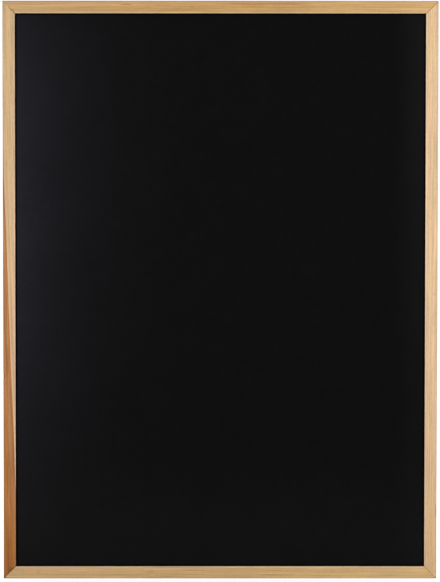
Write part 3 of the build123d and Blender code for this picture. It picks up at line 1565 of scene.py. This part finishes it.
@dataclass(frozen=True)
class RingHanger:
    """One hanger: a rolled steel strap, the screw that holds it and its D-ring."""

    side: Side
    steel: Material
    deburr: float = 0.12 * MM
    sharp_angle: float = math.radians(35)
    flat_angle: float = math.radians(0.5)

    def build(self) -> None:
        """Deburr the stamped strap, turn the screw and dress the ring."""
        name = f"{self.side.value}_hanger"
        bm = node_copy(f"{name}_strap")
        bmesh.ops.dissolve_limit(bm, angle_limit=self.flat_angle, verts=bm.verts, edges=bm.edges)
        ease(bm, sharp_edges(bm, self.sharp_angle), self.deburr, 2)
        bmesh.ops.triangulate(bm, faces=[f for f in bm.faces if len(f.verts) > 4])
        leaf = mesh_piece(f"{name}_leaf", bm, self.sharp_angle)
        hand_over(leaf, self.steel, f"{name}_strap")
        PanScrew(self.side, self.steel).build()
        dress_piece(NODES[f"{name}_ring"], self.steel)


@dataclass(frozen=True)
class Bumper:
    """One moulded rubber bumper under the lower end of a stile."""

    side: Side
    rubber: Material
    chamfer: float = 0.1 * MM
    parting: float = 1.0 * MM
    parting_depth: float = 0.12 * MM
    rounding: float = 1.5 * MM
    rounding_steps: int = 6
    hollow: Curve = ((0.34, 0.0), (0.3, 0.15 * MM), (0.12, 0.35 * MM), (0.0, 0.4 * MM))
    spin_steps: int = 56
    sharp_angle: float = math.radians(40)

    def build(self) -> None:
        """Turn the bumper and dress it."""
        node = f"{self.side.value}_bumper"
        low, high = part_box(node)
        centre = (low + high) / 2
        outline = self.outline((high.x - low.x) / 2, high.y - low.y)
        bm = lathe(outline, self.spin_steps, Vector((centre.x, low.y, centre.z)))
        piece = mesh_piece(f"{node}_pad", bm, self.sharp_angle)
        hand_over(piece, self.rubber, node)

    def outline(self, radius: float, rise: float) -> list[Span]:
        """Draw half the bumper's section, from the stile's back to the hollow in its end.

        Args:
            radius: Radius of the bumper.
            rise: Its thickness.

        Returns:
            Radius and height of each point.
        """
        turns = [math.pi / 2 * n / self.rounding_steps for n in range(self.rounding_steps + 1)]
        side, shoulder = radius - self.rounding, rise - self.rounding
        return [
            (0.0, 0.0), (radius - self.chamfer, 0.0), (radius, self.chamfer),
            (radius, self.parting - self.parting_depth),
            (radius - self.parting_depth, self.parting),
            (radius, self.parting + self.parting_depth),
            *((side + self.rounding * math.cos(t), shoulder + self.rounding * math.sin(t))
              for t in turns),
            *((radius * share, rise - depth) for share, depth in self.hollow),
        ]


@dataclass(frozen=True)
class Lamp:
    """Soft square lamp that is aimed at the middle of the board."""

    name: str
    place: Point
    side: float
    power: float
    colour: Colour = WHITE

    def hang(self) -> None:
        """Hang the lamp and turn it towards the origin."""
        light = bpy.data.lights.new(self.name, "AREA")
        light.size = self.side
        light.energy = self.power
        light.color = self.colour
        lamp = bpy.data.objects.new(self.name, light)
        bpy.context.scene.collection.objects.link(lamp)
        lamp.location = self.place
        lamp.rotation_euler = (-Vector(self.place)).to_track_quat("-Z", "Y").to_euler()


@dataclass(frozen=True)
class Studio:
    """Pale floor, white surroundings and soft lamps."""

    floor_level: float
    floor_size: float = 30.0
    floor_tone: Colour = (0.86, 0.86, 0.855)
    floor_glow: float = 0.64
    floor_roughness: float = 0.9
    floor_specular: float = 0.1
    sky_strength: float = 0.55

    def build(self, lamps: Iterable[Lamp]) -> None:
        """Lay the floor, light the surroundings and hang the lamps.

        Args:
            lamps: The lamps.
        """
        self.lay_floor()
        self.light_surroundings()
        for lamp in lamps:
            lamp.hang()

    def lay_floor(self) -> None:
        """Lay a pale floor that looks white where nothing shades it."""
        bm = bmesh.new()
        bmesh.ops.create_grid(bm, x_segments=1, y_segments=1, size=self.floor_size / 2)
        bmesh.ops.translate(bm, vec=(0, 0, self.floor_level), verts=bm.verts)
        floor = mesh_piece("studio_floor", bm, math.pi)
        bench = NodeBench("studio_floor")
        bench.colour = self.floor_tone
        bench.set(roughness=self.floor_roughness, specular_ior_level=self.floor_specular)
        glow = bench.seen_directly() * self.floor_glow
        bench.set(emission_color=WHITE, emission_strength=glow)
        dress_piece(floor, bench.material)

    def light_surroundings(self) -> None:
        """Light the scene evenly, and show plain white to the camera and to reflections."""
        world = bpy.data.worlds.new("studio_surroundings")
        world.use_nodes = True
        sky = NodeTree(world.node_tree)
        dim, white = (sky.field("Background", WHITE, level) for level in (self.sky_strength, 1.0))
        sky.node("OutputWorld", sky.field("MixShader", sky.seen_directly(), dim, white))
        bpy.context.scene.world = world


@dataclass(frozen=True)
class ViewPoint:
    """Camera in front of the board, a little above its middle and looking down at it."""

    aim: Point
    distance: float = 7.2
    pitch: float = math.radians(4.49)
    yaw: float = math.radians(-0.37)
    roll: float = math.radians(0.043)
    lens: float = 322.45
    film_size: float = 36.0
    reach: float = 100.0

    def place(self) -> None:
        """Set the camera up as the scene's own."""
        camera = bpy.data.cameras.new("viewpoint")
        camera.lens = self.lens
        camera.sensor_width = self.film_size
        camera.clip_end = self.reach
        holder = bpy.data.objects.new("viewpoint", camera)
        bpy.context.scene.collection.objects.link(holder)
        level = math.cos(self.pitch)
        back = Vector((
            math.sin(self.yaw) * level, -math.cos(self.yaw) * level, math.sin(self.pitch)
        ))
        holder.location = Vector(self.aim) + back * self.distance
        turn = (-back).to_track_quat("-Z", "Y").to_matrix().to_4x4()
        holder.rotation_euler = (turn @ Matrix.Rotation(self.roll, 4, "Z")).to_euler()
        bpy.context.scene.camera = holder


def frame_members(moulding: Moulding) -> tuple[Member, ...]:
    """List the four members with their timber and their wear.

    Args:
        moulding: Section and size of the frame.

    Returns:
        The two rails and the two stiles.
    """
    inner_front = moulding.face - moulding.arris
    pine_late: Colour = (0.84, 0.72, 0.55)
    bottom_rail = Member(
        Edge.BOTTOM, "pine", seed=3.1,
        dents=(Dent(-112 * MM, 0.0, 0.6 * MM, 5 * MM, 0.25 * MM),),
        finish=PineFinish(
            tones=(
                (0.0, (0.747, 0.623, 0.459)), (0.5, (0.757, 0.630, 0.444)),
                (1.0, (0.797, 0.674, 0.487)),
            ),
            late_tone=pine_late,
            rings=GrowthRings(-26 * MM, 22 * MM, 2.9 * MM, 0.004, strength=0.32, seed=4.7),
            mitres=MitreLines(JointLine(0.0, tip=0.6), JointLine(0.7, 3 * MM, OLIVE_TONE, 0.3)),
            flecks=(
                Fleck(-252 * MM, 10 * MM, 10 * MM, 9 * MM, 0.35, ROSY_TONE),
                Fleck(-97 * MM, 9 * MM, 13 * MM, 6 * MM, 0.4, ROSY_TONE),
                Fleck(78 * MM, 5 * MM, 60 * MM, 3 * MM, 0.35),
            ),
        ),
    )
    top_rail = Member(
        Edge.TOP, "pine", seed=8.4,
        dents=(Dent(86 * MM, 0.0, inner_front, 4 * MM, 0.2 * MM),),
        finish=PineFinish(
            tones=(
                (0.0, (0.748, 0.617, 0.446)), (0.4, (0.738, 0.592, 0.384)),
                (0.7, (0.75, 0.605, 0.40)), (1.0, (0.812, 0.665, 0.456)),
            ),
            late_tone=(0.83, 0.69, 0.49),
            rings=GrowthRings(-20 * MM, 16 * MM, 2.0 * MM, -0.003, strength=0.55, seed=11.3),
            mitres=MitreLines(JointLine(0.55, 9 * MM), JointLine(0.5, 0.0, OLIVE_TONE)),
            flecks=(
                Fleck(-287 * MM, 13.5 * MM, 10 * MM, 6 * MM, 0.6, ROSY_TONE),
                Fleck(-130 * MM, 5 * MM, 22 * MM, 1.8 * MM, 0.7),
                Fleck(44 * MM, 7 * MM, 46 * MM, 9 * MM, 0.35, ORANGE_TONE),
                Fleck(-60 * MM, 12.5 * MM, 110 * MM, 2.6 * MM, 0.4),
                Fleck(60 * MM, 4 * MM, 150 * MM, 2.0 * MM, 0.45),
            ),
        ),
    )
    left_stile = Member(
        Edge.LEFT, "two_tone_pine", seed=5.6,
        dents=(
            Dent(SPLINTER_DROP, 0.4 * MM, 0.0, 5.5 * MM, 1.0 * MM),
            Dent(-231 * MM, 0.0, inner_front, 4 * MM, 0.25 * MM),
        ),
        finish=PineFinish(
            tones=(
                (0.0, (0.81, 0.68, 0.53)), (0.5, (0.815, 0.682, 0.536)),
                (0.8, (0.788, 0.666, 0.512)), (1.0, (0.775, 0.652, 0.492)),
            ),
            late_tone=pine_late,
            rings=GrowthRings(-38 * MM, 20 * MM, 2.6 * MM, 0.0366, strength=0.3, seed=1.9),
            mitres=MitreLines(
                JointLine(1.0, 0.0, (0.60, 0.62, 0.40), 0.75), JointLine(0.55, 9 * MM)
            ),
            heartwood=Heartwood(
                start=0.198, slope=0.0358,
                stops=(
                    (0.0, (0.57, 0.34, 0.13)), (0.06, (0.63, 0.416, 0.2)),
                    (0.12, (0.66, 0.443, 0.247)), (0.25, (0.69, 0.485, 0.298)),
                    (0.32, (0.705, 0.493, 0.308)), (0.6, (0.705, 0.493, 0.315)),
                ),
            ),
            flecks=(
                Fleck(-389 * MM, 10 * MM, 14 * MM, 8 * MM, 0.9, (0.80, 0.86, 0.68)),
                Fleck(-97 * MM, 6 * MM, 60 * MM, 7 * MM, 0.5, ROSY_TONE),
                Fleck(-SPLINTER_DROP, 0.6 * MM, 11 * MM, 3.4 * MM, 1.0, TORN_TONE, 4 * MM),
                Fleck(-255 * MM, 6 * MM, 80 * MM, 3 * MM, 0.5),
                Fleck(-352 * MM, 8 * MM, 18 * MM, 7 * MM, 0.5, ORANGE_TONE),
            ),
        ),
    )
    right_stile = Member(
        Edge.RIGHT, "pine", seed=6.2,
        dents=(Dent(-60 * MM, 0.2 * MM, 0.3 * MM, 4 * MM, 0.3 * MM),),
        finish=PineFinish(
            # Darker towards its bottom end: partly the timber's own tone, partly painted shade
            # where the light falls off downwards
            tones=(
                (0.0, (0.80, 0.67, 0.518)), (0.08, (0.813, 0.685, 0.53)),
                (0.335, (0.851, 0.725, 0.588)), (0.6, (0.888, 0.763, 0.615)),
                (0.8, (0.872, 0.748, 0.602)), (1.0, (0.843, 0.72, 0.578)),
            ),
            late_tone=pine_late,
            rings=GrowthRings(-30 * MM, 24 * MM, 2.3 * MM, 0.002, strength=0.34, seed=7.5),
            mitres=MitreLines(JointLine(0.4, 7 * MM, tip=0.35), JointLine(0.8, 0.0, OLIVE_TONE)),
            flecks=(
                Fleck(-306 * MM, 1.2 * MM, 26 * MM, 3.0 * MM, 0.5),
                Fleck(361 * MM, 9 * MM, 16 * MM, 3 * MM, 0.4, ROSY_TONE),
                Fleck(166 * MM, 11 * MM, 15 * MM, 1.4 * MM, 0.6, ROSY_TONE),
                Fleck(-3 * MM, 3.5 * MM, 8 * MM, 2.5 * MM, 0.4, ROSY_TONE),
            ),
        ),
    )
    return bottom_rail, top_rail, left_stile, right_stile


def main() -> None:
    """Place the camera, build the board's sub-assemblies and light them."""
    logging.basicConfig(level=logging.INFO, format="%(name)s: %(message)s")
    bpy.context.scene.view_settings.view_transform = "Standard"
    moulding = Moulding.from_frame()
    ViewPoint(aim=(-0.41 * MM, moulding.front, 0.05 * MM)).place()

    members = frame_members(moulding)
    MitredFrame(moulding).build(members)
    left_stile = next(member for member in members if member.edge is Edge.LEFT)
    Splinter(moulding).build(left_stile.finish)
    WritingPanel(ChalkCoat(moulding.opening), RawHardboard()).build()
    nail_steel = PlatedSteel(bright=(0.62, 0.62, 0.64), dull=(0.42, 0.41, 0.40), roughness=0.4)
    CornerNails(nail_steel).build()
    zinc_steel = PlatedSteel(bright=(0.8, 0.8, 0.79), dull=(0.62, 0.62, 0.6), roughness=0.32)
    zinc = zinc_steel.dress("zinc_steel")
    rubber = MouldedRubber().dress("bumper_rubber")
    for side in Side:
        RingHanger(side, zinc).build()
        Bumper(side, rubber).build()

    Studio(floor_level=CAD_BOX[0].z).build((
        Lamp("window_softbox", (-2.3, -2.8, 0.25), 1.8, 55.0, (1.0, 0.99, 0.97)),
        Lamp("fill_softbox", (2.4, -2.8, 0.2), 1.8, 51.0),
        Lamp("rear_left_softbox", (-1.8, 2.4, 1.1), 1.6, 30.0),
        Lamp("rear_right_softbox", (1.9, 2.2, 0.8), 1.6, 26.0),
    ))


if __name__ == "__main__":
    main()
